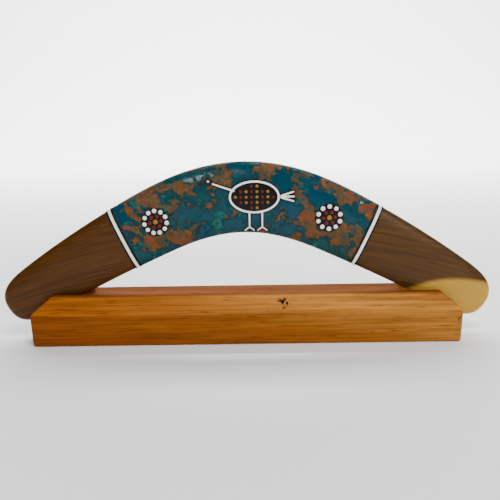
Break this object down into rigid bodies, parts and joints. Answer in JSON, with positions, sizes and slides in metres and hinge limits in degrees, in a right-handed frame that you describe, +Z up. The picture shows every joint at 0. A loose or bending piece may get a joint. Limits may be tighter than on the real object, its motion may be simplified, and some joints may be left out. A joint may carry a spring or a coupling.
{
  "type": "boomerang",
  "caption": "Hand-painted wooden boomerang with a glossy coloured middle, standing on edge in the end slots of a chamfered wooden display block that it lifts out of.",
  "frame": {"origin": "middle of the display block's underside, where it rests on a table", "axes": "+X along the block and from tip to tip of the wing, +Y from the painted face to the back, +Z up"},
  "size_m": [0.3998, 0.048, 0.143],
  "materials": {
    "oiled_wood": "oiled dark brown hardwood, satin, with darker streaks along the wing and pale sapwood at one tip",
    "varnished_pine": "orange-brown pine under clear varnish, long grain",
    "sponged_paint": "sponged acrylic in teal, rust and olive under thick gloss lacquer",
    "white_paint": "raised brush and dot paint under gloss lacquer",
    "black_paint": "black paint under gloss lacquer",
    "red_paint": "raised dark red brush paint under gloss lacquer",
    "gold_paint": "raised ochre gold brush paint under gloss lacquer"
  },
  "bodies": {
    "stand": {"stand_block": "varnished_pine"},
    "wing": {"wing_blank": "oiled_wood", "colour_band": "sponged_paint", "white_border_lines": "white_paint", "black_border_lines": "black_paint", "flower_grounds": "black_paint", "flower_white_dots": "white_paint", "flower_red_dots": "red_paint", "flower_gold_centres": "gold_paint", "emu_ground": "black_paint", "emu_white_lines": "white_paint", "emu_red_feathers": "red_paint", "emu_gold_feathers": "gold_paint"}
  },
  "joints": [
    {"name": "wing_lift", "type": "slide", "parent": "stand", "child": "wing", "axis": [0, 0, 1], "range_m": [0, 0.06]}
  ]
}
